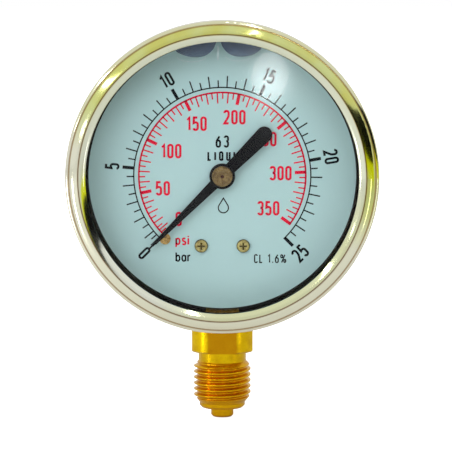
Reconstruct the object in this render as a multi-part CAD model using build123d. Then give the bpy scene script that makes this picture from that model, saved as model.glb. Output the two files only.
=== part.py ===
from build123d import *
import math
import os

# A pressure gauge of nominal size 63 mm: a liquid-filled stainless case with a crimped
# bezel, a C-shaped Bourdon tube, a two-plate movement, and a brass socket with a G 1/4 B
# process connection at the bottom.
#
# Frame: +Z is up, the dial faces -Y and +X is to the reader's right. The origin is on
# the axis of the process thread, half-way along its crests. The head is drawn in a frame
# of its own, with u to the right, v up from the dial's centre and f forwards, towards the
# reader; head_frame carries it to the gauge's frame. All sizes are in millimetres.

# Process connection: G 1/4 B with a plain lead and a spigot, and a 14 mm wrench block
thread_radius = 13.157 / 2
thread_pitch = 25.4 / 19
thread_depth = 0.856
thread_crests = 6
crest_flat = 0.26
root_flat = 0.24
relief_radius = 5.5
relief_length = 2.4
shoulder_height = 7.0
connection_length = 13.3
lead_radius = 5.25
lead_length = 1.2
lead_chamfer = 0.5
spigot_radius = 2.6
spigot_length = 2.2
spigot_chamfer = 0.4
wrench_size = 14.0
wrench_corner_radius = 7.85
wrench_chamfer = 0.4
bore_radius = 1.25
restrictor_radius = 1.5
restrictor_length = 4.0
restrictor_hole_radius = 0.2
restrictor_sink = 0.3
slot_width = 0.5
slot_depth = 0.9

# Case, bezel and window
centre_above_seal = 55.1
case_radius = 31.95
case_wall = 0.6
case_back = -12.5
case_corner = 3.0
flange_front = 13.8
flange_overhang = 2.25
flange_gap = 0.5
bezel_wall = 0.6
ridge_rise = 0.55
lip_edge_thickness = 0.3
lip_sag = 0.17
crown_sag = 0.24
crown_drop = 1.25
rim_drop = 0.65
rim_sag = 0.15
bezel_inner_rise = 0.9
bezel_inner_slope = 1.2
bezel_curl = 0.8
bezel_curl_gap = 0.5
lip_reach = 0.65
lip_width = 1.6
rim_width = 0.9
groove_width = 0.12
seat_step = 1.5
window_thickness = 3.0
window_rebate = 1.6
window_gap = 0.05
gasket_reach = 0.25
gasket_gap = 0.3
gasket_drop = 0.8

# Dial and pointer
dial_gap = 0.85
dial_thickness = 0.5
dial_front = 12.0
dial_hole_radius = 1.6
dial_screw_spacing = 9.5
dial_screw_lead = 3.0
dial_screw_radius = 0.8
dial_screw_head_radius = 1.45
dial_screw_head_height = 0.8
dial_screw_length = 4.0
zero_angle = 225.0
stop_pin_reach = 19.3
stop_pin_radius = 0.5
stop_flange_radius = 1.25
stop_flange_height = 0.35
stop_pin_rise = 0.6
stop_rivet_radius = 0.85
stop_rivet_height = 0.3
stop_gap = 0.02
pointer_gap = 1.1
pointer_thickness = 0.4
pointer_reach = 23.6
pointer_root_half = 1.25
pointer_blade_reach = 21.6
pointer_blade_half = 0.375
pointer_tip_half = 0.18
pointer_boss_radius = 2.9
tail_reach = 15.2
tail_root_half = 1.2
tail_end_radius = 1.82
hub_radius = 2.34
hub_neck_radius = 1.2
hub_flange = 0.6
hub_gap = 0.4
hub_chamfer = 0.15

# Movement: two plates on pillars, with a pinion of 10 teeth and a sector of 120 a turn
gear_module = 0.2
pinion_teeth = 10
sector_teeth_per_turn = 120
sector_swing = 22.5
sector_half_angle = 17.0
plate_back = 1.0
plate_thickness = 1.2
plate_gap = 5.2
plate_half_width = 7.0
plate_top = 5.6
plate_margin = 0.4
tongue_half_width = 2.9
tongue_reach = 2.6
front_plate_half_width = 6.2
front_plate_margin = 1.6
pillar_radius = 1.1
pillar_u = 5.0
pillar_upper = 3.7
pillar_rise = 5.0
rivet_radius = 0.6
rivet_gap = 0.05
tapped_depth = 2.5
movement_screw_u = 5.2
movement_screw_rise = 1.5
movement_screw_head_radius = 1.6
movement_screw_head_height = 0.9
movement_screw_depth = 4.0
screw_end_gap = 0.3
screw_hole_gap = 0.05
plate_corner = 0.8
pillar_screw_head_radius = 1.1
pillar_screw_head_height = 0.6
arbor_radius = 0.6
arbor_step = 0.2
shoulder_gap = 0.1
pivot_radius = 0.4
running_gap = 0.03
sector_thickness = 0.8
sector_root_half = 1.2
sector_boss_radius = 1.9
sector_tail_width = 2.0
sector_rim = 2.0
opening_start = 3.4
opening_root_half = 0.7
opening_end_half = 1.7
opening_margin = 0.9
pinion_margin = 0.6
sector_back = 3.6
tail_length = 6.0
collet_radius = 1.25
spring_pitch = 0.5
spring_half_turns = 9
spring_strip = 0.1
spring_width = 0.5
spring_back = 6.0
collet_margin = 0.2
stud_radius = 0.45

# Bourdon tube, its end piece and the link
tube_radius = 22.5
tube_width = 8.0
tube_depth = 2.4
tube_wall = 0.35
tube_middle = -2.0
tube_root_angle = 254.0
tube_tip_angle = -42.0
solder_gap = 0.02
link_end_u = 16.2
link_rise = 0.1847
link_width = 1.6
link_thickness = 0.5
link_pin_radius = 0.45
link_pin_gap = 0.04
open_pivot_gap = 0.12
link_gap = 0.15
washer_gap = 0.1
pin_head_step = 0.4
pin_head_height = 0.3
lug_width = 2.6
end_piece_wall = 0.9
end_piece_length = 5.0
end_piece_margin = 0.6

# Inner end of the socket, its seal and screws, and the filling plug
block_half_width = 7.0
block_top = -9.6
block_depth = 7.5
foot_half_width = 13.0
foot_back = -8.8
foot_front = 9.6
foot_thickness = 3.6
nose_half_width = 3.75
nose_front = 11.2
seal_thickness = 1.0
neck_radius = 7.9
neck_gap = 0.1
block_gap = 0.6
socket_screw_radius = 1.5
socket_screw_head_radius = 2.6
socket_screw_head_height = 1.5
socket_screw_reach = 10.6
standoff_radius = 1.3
standoff_root = 2.5
standoff_hole = 3.0
standoff_bore = 4.0
small_screw_radius = 1.0
plug_radius = 4.15
plug_lip_radius = 4.85
plug_lip_height = 0.8
plug_flange_radius = 5.6
plug_flange_height = 1.5
plug_flange_rounding = 0.6
plug_position = -1.0
plug_gap = 0.05

# Places worked out from the sizes above
seal_height = shoulder_height - connection_length
spigot_end = seal_height - spigot_length
centre_height = seal_height + centre_above_seal
case_inner = case_radius - case_wall
flange_back = flange_front - case_wall
flange_radius = case_radius + flange_overhang
bezel_inner = flange_radius + flange_gap
bezel_radius = bezel_inner + bezel_wall
opening_radius = case_inner - lip_reach
lip_outer_radius = opening_radius + lip_width
torus_outer_radius = bezel_radius - rim_width
window_back = flange_front + seat_step
window_front = window_back + window_thickness
window_radius = flange_radius - window_rebate
lip_back = window_front + window_gap
bezel_front = lip_back + bezel_wall
bezel_back = flange_back - bezel_curl
dial_radius = case_inner - dial_gap
foot_radius = case_inner - seal_thickness
dial_back = dial_front - dial_thickness
pointer_back = dial_front + pointer_gap
pointer_front = pointer_back + pointer_thickness
hub_back = dial_front + hub_gap
plate_front = plate_back + plate_thickness
front_plate_back = plate_front + plate_gap
front_plate_front = front_plate_back + plate_thickness
pinion_pitch_radius = gear_module * pinion_teeth / 2
sector_pitch_radius = gear_module * sector_teeth_per_turn / 2
sector_drop = pinion_pitch_radius + sector_pitch_radius
half_tooth = 0.62 * gear_module
addendum = 0.75 * gear_module
dedendum = 1.15 * gear_module
sector_arbor_radius = arbor_radius + arbor_step
plate_bottom = -(sector_drop + plate_margin)
tongue_bottom = -(sector_drop + tongue_reach)
pillar_lower = pillar_rise - sector_drop
front_plate_bottom = pillar_lower - front_plate_margin
movement_screw_drop = sector_drop - movement_screw_rise
dial_screw_drop = sector_drop + dial_screw_lead
link_back = sector_back - link_gap - link_thickness
lug_front = link_back - washer_gap
rest_swing = -sector_swing / 2
link_start_u = tail_length * math.sin(math.radians(rest_swing))
link_start_v = -sector_drop - tail_length * math.cos(math.radians(rest_swing))
link_end_v = link_start_v + link_rise
tube_front = tube_middle + tube_width / 2
tube_back = tube_middle - tube_width / 2

head_plane = Plane(origin=(0, 0, centre_height), x_dir=(1, 0, 0), z_dir=(0, -1, 0))


def head_frame(shape):
    """Carry a solid from the head's frame to the gauge's."""
    return head_plane.location * shape


def turned(points):
    """Turn a closed (radius, height) outline about the local Z axis."""
    outline = make_face(Plane.XZ * Polyline(*points, close=True))
    return revolve(outline, Axis.Z)


def rod(radius, low, high, u=0.0, v=0.0):
    """A round bar between two heights."""
    return Pos(u, v, low) * extrude(Circle(radius), high - low)


def slab(u_low, u_high, v_low, v_high, low, high):
    """A rectangular block between two heights."""
    outline = Rectangle(u_high - u_low, v_high - v_low, align=(Align.MIN, Align.MIN))
    return Pos(u_low, v_low, low) * extrude(outline, high - low)


def plate(points, low, high):
    """A flat piece of any outline between two heights."""
    outline = make_face(Polyline(*points, close=True))
    return Pos(0, 0, low) * extrude(outline, high - low)


def strap(start, end, width, low, high):
    """A flat bar with round ends between two points."""
    (u0, v0), (u1, v1) = start, end
    length = math.hypot(u1 - u0, v1 - v0)
    angle = math.degrees(math.atan2(v1 - v0, u1 - u0))
    outline = Rot(0, 0, angle) * SlotCenterToCenter(length, width)
    return Pos((u0 + u1) / 2, (v0 + v1) / 2, low) * extrude(outline, high - low)


def cross_recess(reach, width, depth, top):
    """The cross-shaped recess of a screw head."""
    outline = Rectangle(2 * reach, width) + Rectangle(width, 2 * reach)
    return Pos(0, 0, top - depth) * extrude(outline, depth + 0.1)


def pan_screw(shank_radius, shank_length, head_radius, head_height):
    """A cross-recessed screw whose head seats at height 0 and whose shank runs down."""
    rounding = 0.45 * head_height
    head = rod(head_radius, 0, head_height)
    head = fillet(head.edges().group_by(Axis.Z)[-1], rounding)
    head -= cross_recess(0.6 * head_radius, 0.28 * head_radius, 0.5 * head_height, head_height)
    return head + rod(shank_radius, -shank_length, 0)


def ring_points(radius, angle):
    """The point at a radius and an angle, counted anticlockwise from +u."""
    turn = math.radians(angle)
    return radius * math.cos(turn), radius * math.sin(turn)


def thread_outline():
    """The (radius, height) points of the ridges, from the lead up to the relief."""
    root = thread_radius - thread_depth
    half_ridge = (thread_pitch - root_flat) / 2
    points = [(lead_radius, seal_height + lead_length)]
    for ridge in range(thread_crests):
        middle = (ridge - (thread_crests - 1) / 2) * thread_pitch
        if ridge > 0:
            points.append((root, middle - half_ridge))
        points.append((thread_radius, middle - crest_flat / 2))
        points.append((thread_radius, middle + crest_flat / 2))
        if ridge < thread_crests - 1:
            points.append((root, middle + half_ridge))
    points.append((relief_radius, shoulder_height - relief_length))
    return points


def connection():
    """The spigot, the lead, the ridges and the relief under the wrench block."""
    points = [
        (0, spigot_end),
        (spigot_radius - spigot_chamfer, spigot_end),
        (spigot_radius, spigot_end + spigot_chamfer),
        (spigot_radius, seal_height),
        (lead_radius - lead_chamfer, seal_height),
        (lead_radius, seal_height + lead_chamfer),
    ]
    points += thread_outline()
    points += [(relief_radius, shoulder_height + 1), (0, shoulder_height + 1)]
    return turned(points)


def wrench_block():
    """A square block with turned corners, and the round neck that fills the case's hole."""
    top = centre_height - case_radius - block_gap
    neck_top = centre_height - foot_radius + 2
    block = slab(
        -wrench_size / 2, wrench_size / 2, -wrench_size / 2, wrench_size / 2, shoulder_height, top
    )
    corners = rod(wrench_corner_radius, shoulder_height, top)
    corners = chamfer(corners.edges().group_by(Axis.Z)[0], wrench_chamfer)
    return (block & corners) + rod(neck_radius, top, neck_top)


def foot_sector(low, high, inner, outer, half_width):
    """A length of ring at the bottom of the case, between two heights."""
    ring = rod(outer, low, high) - rod(inner, low, high)
    return ring & slab(-half_width, half_width, -outer - 1, 0, low, high)


def socket_screw_places():
    """The frames of the socket's screws, on the case's outer wall, Z pointing outwards."""
    angle = math.degrees(math.asin(socket_screw_reach / case_radius))
    for side in (-angle, angle):
        yield Rot(0, 0, side) * Pos(0, -case_radius, 0) * Rot(90, 0, 0)


def tube_sweep(width, depth, start, end):
    """A flattened tube's outline, swept about the dial's centre between two angles."""
    outline = Plane.XZ * Pos(tube_radius, tube_middle) * SlotOverall(width, depth, rotation=90)
    swept = revolve(outline, Axis.Z, end - start)
    return Rot(0, 0, start) * swept


def tube_envelope(start, end):
    """The room that the tube's end takes in what it is soldered into."""
    return tube_sweep(tube_width + 2 * solder_gap, tube_depth + 2 * solder_gap, start, end)


def socket():
    """The brass socket: connection, wrench block, foot, and the block that holds the rest."""
    block_back = plate_back - block_depth
    body = foot_sector(foot_back, foot_front, foot_radius - foot_thickness, foot_radius, foot_half_width)
    body += foot_sector(
        foot_front, nose_front, foot_radius - 1, case_inner - plug_gap, nose_half_width
    )
    body += slab(-block_half_width, block_half_width, 1 - foot_radius, block_top, block_back, plate_back)
    ear_u, ear_v = ring_points(tube_radius, tube_root_angle - 6)
    body += slab(ear_u - 2, 0, ear_v - 3.2, ear_v + 3, block_back, plate_back)
    inner = head_frame(body)
    outer = connection() + wrench_block()
    joined = outer + inner
    cross_height = centre_height - tube_radius + 1.2
    joined -= rod(bore_radius, spigot_end, cross_height + 0.8)
    joined -= rod(restrictor_radius, spigot_end, spigot_end + restrictor_length)
    cross = Pos(0, 1.0, cross_height) * Rot(0, -90, 0) * extrude(Circle(0.9), 8)
    joined -= cross
    cuts = tube_envelope(tube_root_angle - 20, tube_root_angle)
    for side in (-1, 1):
        u = side * dial_screw_spacing / 2
        cuts += rod(dial_screw_radius, plate_back - standoff_hole, plate_back, u, -dial_screw_drop)
        u = side * movement_screw_u
        depth = plate_back - movement_screw_depth
        cuts += rod(small_screw_radius, depth, plate_back, u, -movement_screw_drop)
    for place in socket_screw_places():
        cuts += place * rod(socket_screw_radius, -6, 1)
    return joined - head_frame(cuts)


def restrictor():
    """The slotted throttle screw in the spigot's mouth, with its fine hole."""
    body = rod(restrictor_radius, spigot_end + restrictor_sink, spigot_end + restrictor_length)
    body -= rod(restrictor_hole_radius, spigot_end, spigot_end + restrictor_length)
    slot = Pos(0, 0, spigot_end) * extrude(Rectangle(4 * restrictor_radius, slot_width), slot_depth)
    return body - slot


def case_shell():
    """The drawn case: a cup with a rolled corner at the back and a flange in front."""
    outer = rod(case_radius, case_back, flange_front)
    outer = fillet(outer.edges().group_by(Axis.Z)[0], case_corner)
    inner = rod(case_inner, case_back + case_wall, flange_front + 1)
    inner = fillet(inner.edges().group_by(Axis.Z)[0], case_corner - case_wall)
    shell = outer + rod(flange_radius, flange_back, flange_front) - inner
    for place in socket_screw_places():
        shell -= place * rod(socket_screw_radius + neck_gap, -3, 3)
    shell = head_frame(shell)
    bottom = centre_height - case_radius - 2
    shell -= rod(neck_radius + neck_gap, bottom, bottom + 6)
    top = centre_height + case_radius + 2
    return shell - Pos(0, -plug_position, top - 6) * extrude(Circle(plug_radius + plug_gap), 6)


def bulged(start, end, sag):
    """An arc from start to end that stands forward of the straight line by its sag."""
    (r0, f0), (r1, f1) = start, end
    length = math.hypot(r1 - r0, f1 - f0)
    middle = ((r0 + r1) / 2 - sag * (f1 - f0) / length, (f0 + f1) / 2 + sag * (r1 - r0) / length)
    return ThreePointArc(start, middle, end)


def bezel_outline():
    """The bezel's section: lip up to a ridge, crown, groove, rim, side wall, crimped edge."""
    lip_start = (opening_radius, lip_back + lip_edge_thickness)
    ridge = bezel_front + ridge_rise
    shoulder = ridge - crown_drop
    lip_end = (lip_outer_radius, ridge)
    crown_start = (lip_outer_radius + groove_width, ridge)
    crown_end = (torus_outer_radius, shoulder)
    rim_start = (torus_outer_radius + groove_width, shoulder)
    rim_end = (bezel_radius, shoulder - rim_drop)
    curl_start = (bezel_radius, bezel_back + bezel_curl)
    curl_middle = (bezel_radius - 0.29 * bezel_curl, bezel_back + 0.29 * bezel_curl)
    curl_end = (bezel_radius - bezel_curl, bezel_back)
    curl_edge = case_radius + bezel_curl_gap
    groove_floor = ((lip_outer_radius + crown_start[0]) / 2, ridge - groove_width)
    edges = [
        bulged(lip_start, lip_end, lip_sag),
        Polyline(lip_end, groove_floor, crown_start),
        bulged(crown_start, crown_end, crown_sag),
        Line(crown_end, rim_start),
        bulged(rim_start, rim_end, rim_sag),
        Line(rim_end, curl_start),
        ThreePointArc(curl_start, curl_middle, curl_end),
        Polyline(
            curl_end,
            (curl_edge, bezel_back),
            (curl_edge, flange_back),
            (flange_radius, flange_back),
            (bezel_inner, flange_back + flange_gap),
            (bezel_inner, lip_back - bezel_inner_rise),
            (bezel_inner - bezel_inner_slope, lip_back),
            (opening_radius, lip_back),
            lip_start,
        ),
    ]
    return make_face(Plane.XZ * (Curve() + edges))


def window_gasket():
    """The rubber ring that seats the window on the case's flange and round its edge."""
    inner = case_inner - gasket_reach
    outer = bezel_inner - gasket_gap
    edge = window_radius + window_gap
    return turned(
        [
            (inner, flange_front),
            (outer, flange_front),
            (outer, window_front - gasket_drop),
            (edge, window_front - gasket_drop),
            (edge, window_back),
            (inner, window_back),
        ]
    )


def stop_pin_place():
    """The stop pin's place, where the pointer's edge meets it at zero."""
    share = (stop_pin_reach - pointer_boss_radius) / (pointer_blade_reach - pointer_boss_radius)
    half_blade = pointer_root_half + share * (pointer_blade_half - pointer_root_half)
    aside = half_blade + stop_pin_radius + stop_gap
    turn = math.radians(zero_angle)
    along = (math.sin(turn), math.cos(turn))
    across = (-math.cos(turn), math.sin(turn))
    u = along[0] * stop_pin_reach + across[0] * aside
    v = along[1] * stop_pin_reach + across[1] * aside
    return u, v


def dial_plate():
    """The dial's disc with its holes for the arbor, the two screws and the stop pin."""
    disc = rod(dial_radius, dial_back, dial_front)
    disc -= rod(dial_hole_radius, dial_back - 1, dial_front + 1)
    for side in (-1, 1):
        place = (side * dial_screw_spacing / 2, -dial_screw_drop)
        disc -= rod(dial_screw_radius + screw_hole_gap, dial_back - 1, dial_front + 1, *place)
    return disc - rod(stop_pin_radius, dial_back - 1, dial_front + 1, *stop_pin_place())


def stop_pin():
    """The riveted pin on which the pointer rests at zero."""
    place = stop_pin_place()
    pin = rod(stop_pin_radius, dial_back - stop_rivet_height, pointer_front + stop_pin_rise, *place)
    flange = rod(stop_flange_radius, dial_front, dial_front + stop_flange_height, *place)
    rivet = rod(stop_rivet_radius, dial_back - stop_rivet_height, dial_back, *place)
    return pin + flange + rivet


def dial_screws():
    """The two screws that hold the dial on its standoffs."""
    screws = Part()
    for side in (-1, 1):
        screw = pan_screw(
            dial_screw_radius, dial_screw_length, dial_screw_head_radius, dial_screw_head_height
        )
        screws += Pos(side * dial_screw_spacing / 2, -dial_screw_drop, dial_front) * screw
    return screws


def dial_standoffs():
    """The two tapped standoffs between the socket's block and the dial."""
    posts = Part()
    for side in (-1, 1):
        place = (side * dial_screw_spacing / 2, -dial_screw_drop)
        post = rod(standoff_radius, plate_back, dial_back, *place)
        post += rod(dial_screw_radius, plate_back - standoff_root, plate_back, *place)
        posts += post - rod(dial_screw_radius, dial_back - standoff_bore, dial_back, *place)
    return posts


def pointer():
    """The black pointer, drawn upwards and then turned to zero: blade, boss and tail."""
    tail_centre = tail_reach - tail_end_radius
    blade = plate(
        [
            (-pointer_root_half, 0),
            (-pointer_blade_half, pointer_blade_reach),
            (-pointer_tip_half, pointer_blade_reach),
            (-pointer_tip_half, pointer_reach),
            (pointer_tip_half, pointer_reach),
            (pointer_tip_half, pointer_blade_reach),
            (pointer_blade_half, pointer_blade_reach),
            (pointer_root_half, 0),
        ],
        pointer_back,
        pointer_front,
    )
    tail = plate(
        [
            (-tail_root_half, 0),
            (tail_root_half, 0),
            (tail_end_radius, -tail_centre),
            (-tail_end_radius, -tail_centre),
        ],
        pointer_back,
        pointer_front,
    )
    whole = blade + tail + rod(tail_end_radius, pointer_back, pointer_front, 0, -tail_centre)
    whole += rod(pointer_boss_radius, pointer_back, pointer_front)
    whole -= rod(hub_neck_radius, pointer_back - 1, pointer_front + 1)
    return Rot(0, 0, -zero_angle) * whole


def pointer_hub():
    """The brass hub pressed on the arbor, with a flange over the pointer's boss."""
    hub = rod(hub_neck_radius, hub_back, pointer_front)
    flange = rod(hub_radius, pointer_front, pointer_front + hub_flange)
    flange = chamfer(flange.edges().group_by(Axis.Z)[-1], hub_chamfer)
    return hub + flange - rod(pivot_radius, dial_front, pointer_front + 1)


def toothed_points(pitch_radius, teeth, addendum, dedendum, half_tooth, start, count):
    """The outline points of a run of gear teeth, anticlockwise from an angle."""
    points = []
    step = 360 / teeth
    share = math.degrees(half_tooth / pitch_radius)
    for tooth in range(count):
        middle = start + tooth * step
        points.append(ring_points(pitch_radius - dedendum, middle - 1.35 * share))
        points.append(ring_points(pitch_radius, middle - share))
        points.append(ring_points(pitch_radius + addendum, middle - 0.45 * share))
        points.append(ring_points(pitch_radius + addendum, middle + 0.45 * share))
        points.append(ring_points(pitch_radius, middle + share))
        points.append(ring_points(pitch_radius - dedendum, middle + 1.35 * share))
    return points


def pinion_arbor():
    """The pointer's arbor with its pinion; a tooth space faces the sector at rest."""
    teeth_back = sector_back - pinion_margin
    teeth_front = sector_back + sector_thickness + pinion_margin
    step = 360 / sector_teeth_per_turn
    aside = round(-rest_swing / step) * step + rest_swing
    start = -90 - aside * sector_teeth_per_turn / pinion_teeth + 180 / pinion_teeth
    points = toothed_points(
        pinion_pitch_radius, pinion_teeth, addendum, dedendum, half_tooth, start, pinion_teeth
    )
    arbor = plate(points, teeth_back, teeth_front)
    arbor += rod(arbor_radius, plate_front + shoulder_gap, hub_back)
    arbor += rod(pivot_radius, plate_back, plate_front + shoulder_gap)
    return arbor + rod(pivot_radius, hub_back, pointer_front + hub_flange)


def sector_gear():
    """The toothed sector and its tail, drawn at mid-swing and then turned to rest."""
    teeth = 2 * round(sector_half_angle * sector_teeth_per_turn / 360) + 1
    step = 360 / sector_teeth_per_turn
    start = 90 - (teeth - 1) / 2 * step
    rim = toothed_points(
        sector_pitch_radius, sector_teeth_per_turn, addendum, dedendum, half_tooth, start, teeth
    )
    inner = sector_pitch_radius - sector_rim
    low = math.radians(start - step / 2)
    high = math.radians(start + (teeth - 0.5) * step)
    ends = [
        (inner * math.cos(high), inner * math.sin(high)),
        (-sector_root_half, 0),
        (sector_root_half, 0),
        (inner * math.cos(low), inner * math.sin(low)),
    ]
    front = sector_back + sector_thickness
    body = plate(rim + ends, sector_back, front)
    body += rod(sector_boss_radius, sector_back, front)
    window = plate(
        [
            (-opening_root_half, opening_start),
            (opening_root_half, opening_start),
            (opening_end_half, inner - opening_margin),
            (-opening_end_half, inner - opening_margin),
        ],
        sector_back - 1,
        front + 1,
    )
    body -= window
    body += strap((0, 0), (0, -tail_length), sector_tail_width, sector_back, front)
    body -= rod(link_pin_radius, sector_back - 1, front + 1, 0, -tail_length)
    body -= rod(sector_arbor_radius, sector_back - 1, front + 1)
    return Pos(0, -sector_drop, 0) * Rot(0, 0, rest_swing) * body


def sector_arbor():
    """The sector's arbor, with a pivot in each plate."""
    arbor = rod(
        sector_arbor_radius, plate_front + shoulder_gap, front_plate_back - shoulder_gap, 0, -sector_drop
    )
    return arbor + rod(pivot_radius, plate_back, front_plate_front, 0, -sector_drop)


def pivot_holes():
    """The bores in both plates for the two arbors."""
    holes = rod(pivot_radius + running_gap, plate_back - 1, front_plate_front + 1, 0, -sector_drop)
    holes += rod(pivot_radius + running_gap, plate_back - 1, plate_front)
    return holes + rod(arbor_radius + running_gap, front_plate_back, front_plate_front + 1)


def pillar_places():
    """The middles of the four pillars between the plates."""
    for v in (pillar_lower, pillar_upper):
        for side in (-1, 1):
            yield side * pillar_u, v


def movement_back_plate():
    """The back plate, on the socket's block, with a tongue for the sector's pivot."""
    body = slab(
        -plate_half_width, plate_half_width, plate_bottom, plate_top, plate_back, plate_front
    )
    body = fillet(body.edges().filter_by(Axis.Z), plate_corner)
    body += slab(
        -tongue_half_width, tongue_half_width, tongue_bottom, plate_bottom + 1, plate_back, plate_front
    )
    for side in (-1, 1):
        place = (side * movement_screw_u, -movement_screw_drop)
        body -= rod(small_screw_radius + screw_hole_gap, plate_back - 1, plate_front + 1, *place)
    for place in pillar_places():
        body -= rod(rivet_radius, plate_back - 1, plate_front + 1, *place)
    return body - pivot_holes()


def movement_front_plate():
    """The front plate, narrower, so that the movement's screws can be reached."""
    half = front_plate_half_width
    low = front_plate_back
    high = front_plate_front
    body = slab(-half, half, front_plate_bottom, plate_top, low, high)
    body = fillet(body.edges().filter_by(Axis.Z), plate_corner)
    body += slab(
        -tongue_half_width, tongue_half_width, tongue_bottom, front_plate_bottom + 1, low, high
    )
    for place in pillar_places():
        body -= rod(rivet_radius + rivet_gap, low - 1, high + 1, *place)
    return body - pivot_holes()


def movement_pillars():
    """Four pillars, riveted in the back plate and tapped at the front."""
    pillars = Part()
    for place in pillar_places():
        pillar = rod(pillar_radius, plate_front, front_plate_back, *place)
        pillar += rod(rivet_radius, plate_back, plate_front, *place)
        bore = rod(rivet_radius, front_plate_back - tapped_depth, front_plate_back, *place)
        pillars += pillar - bore
    return pillars


def pillar_screws():
    """The four screws that hold the front plate on its pillars."""
    screws = Part()
    length = plate_thickness + tapped_depth - screw_end_gap
    screw = pan_screw(rivet_radius, length, pillar_screw_head_radius, pillar_screw_head_height)
    for u, v in pillar_places():
        screws += Pos(u, v, front_plate_front) * screw
    return screws


def movement_screws():
    """The two screws that hold the back plate on the socket's block."""
    screws = Part()
    length = plate_thickness + movement_screw_depth - screw_end_gap
    screw = pan_screw(
        small_screw_radius, length, movement_screw_head_radius, movement_screw_head_height
    )
    for side in (-1, 1):
        screws += Pos(side * movement_screw_u, -movement_screw_drop, plate_front) * screw
    return screws


def hairspring_collet():
    """The collet that holds the hairspring's inner end on the pointer's arbor."""
    collet = rod(collet_radius, spring_back - collet_margin, spring_back + spring_width + collet_margin)
    return collet - rod(arbor_radius, spring_back - 1, spring_back + 2)


def spring_radius(half_turn):
    """The hairspring's radius after a number of half turns."""
    return collet_radius + spring_strip / 2 + spring_pitch * half_turn / 2


def hairspring():
    """The flat spiral of the hairspring, one half-round of strip after another."""
    spring = Part()
    for half_turn in range(spring_half_turns):
        start = spring_radius(half_turn)
        end = spring_radius(half_turn + 1)
        side = 1 if half_turn % 2 == 0 else -1
        middle = side * (start - end) / 2
        radius = (start + end) / 2
        ring = Circle(radius + spring_strip / 2) - Circle(radius - spring_strip / 2)
        half = Rectangle(4 * radius, 2 * radius, align=(Align.CENTER, Align.MIN))
        if side < 0:
            half = Rectangle(4 * radius, 2 * radius, align=(Align.CENTER, Align.MAX))
        spring += Pos(middle, 0, spring_back) * extrude(ring & half, spring_width)
    return spring


def hairspring_stud():
    """The stud on the front plate that holds the hairspring's outer end."""
    side = -1 if spring_half_turns % 2 else 1
    outer = spring_radius(spring_half_turns) + spring_strip / 2
    return rod(stud_radius, spring_back, front_plate_back, side * (outer + stud_radius), 0)


def bourdon_tube():
    """The flattened, C-shaped tube from the socket's ear round to the end piece."""
    outer = tube_sweep(tube_width, tube_depth, tube_tip_angle, tube_root_angle)
    bore = tube_sweep(
        tube_width - 2 * tube_wall, tube_depth - 2 * tube_wall, tube_tip_angle - 1, tube_root_angle + 1
    )
    return outer - bore


def tube_end_piece():
    """The brass cap soldered on the tube's tip, with the lug that carries the link."""
    u, v = ring_points(tube_radius, tube_tip_angle)
    outline = Rectangle(tube_depth + 2 * end_piece_wall, end_piece_length)
    cap = Pos(0, 0, tube_back - end_piece_margin) * extrude(outline, tube_width + 2 * end_piece_margin)
    cap = Pos(u, v, 0) * Rot(0, 0, tube_tip_angle) * Pos(0, -0.5, 0) * cap
    cap -= tube_envelope(tube_tip_angle, tube_tip_angle + 30)
    lug = strap((u, v), (link_end_u, link_end_v), lug_width, tube_front, lug_front)
    lug -= tube_envelope(tube_tip_angle, tube_tip_angle + 30)
    return cap + lug - rod(link_pin_radius, tube_front - 1, lug_front + 1, link_end_u, link_end_v)


def link():
    """The flat link from the end piece to the sector's tail."""
    start = (link_start_u, link_start_v)
    end = (link_end_u, link_end_v)
    front = link_back + link_thickness
    body = strap(start, end, link_width, link_back, front)
    body -= rod(link_pin_radius + open_pivot_gap, link_back - 1, front + 1, *start)
    return body - rod(link_pin_radius + link_pin_gap, link_back - 1, front + 1, *end)


def link_pins():
    """The two headed pins of the link: the sector's and the end piece's."""
    head = link_pin_radius + pin_head_step
    start = (link_start_u, link_start_v)
    end = (link_end_u, link_end_v)
    low = link_back - washer_gap
    top = link_back + link_thickness + washer_gap
    sector_pin = rod(link_pin_radius, low, sector_back + sector_thickness, *start)
    sector_pin += rod(head, low - pin_head_height, low, *start)
    tube_pin = rod(link_pin_radius, tube_front, top, *end)
    tube_pin += rod(head, top, top + pin_head_height, *end)
    return sector_pin, tube_pin


def socket_seal():
    """The rubber seal between the socket's foot and the case's wall."""
    seal = foot_sector(foot_back, foot_front, foot_radius, case_inner, foot_half_width)
    for place in socket_screw_places():
        seal -= place * rod(socket_screw_radius + neck_gap, -4, 1)
    bottom = centre_height - case_radius - 2
    return head_frame(seal) - rod(neck_radius, bottom, bottom + 6)


def socket_screws():
    """The two screws through the case's wall into the socket's foot."""
    screws = Part()
    for place in socket_screw_places():
        screw = pan_screw(
            socket_screw_radius, case_wall + seal_thickness + 3, socket_screw_head_radius,
            socket_screw_head_height,
        )
        screws += place * screw
    return screws


def fill_plug():
    """The rubber plug in the filling hole at the top of the case."""
    sag = case_inner - math.sqrt(case_inner**2 - plug_lip_radius**2)
    lip_top = case_inner - sag - plug_gap
    flange_bottom = case_radius + plug_gap
    plug = rod(plug_lip_radius, lip_top - plug_lip_height, lip_top)
    plug += rod(plug_radius, lip_top - 2 * plug_lip_height, flange_bottom)
    flange = rod(plug_flange_radius, flange_bottom, flange_bottom + plug_flange_height)
    plug += fillet(flange.edges().group_by(Axis.Z)[-1], plug_flange_rounding)
    return Pos(0, -plug_position, centre_height) * plug


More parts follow.
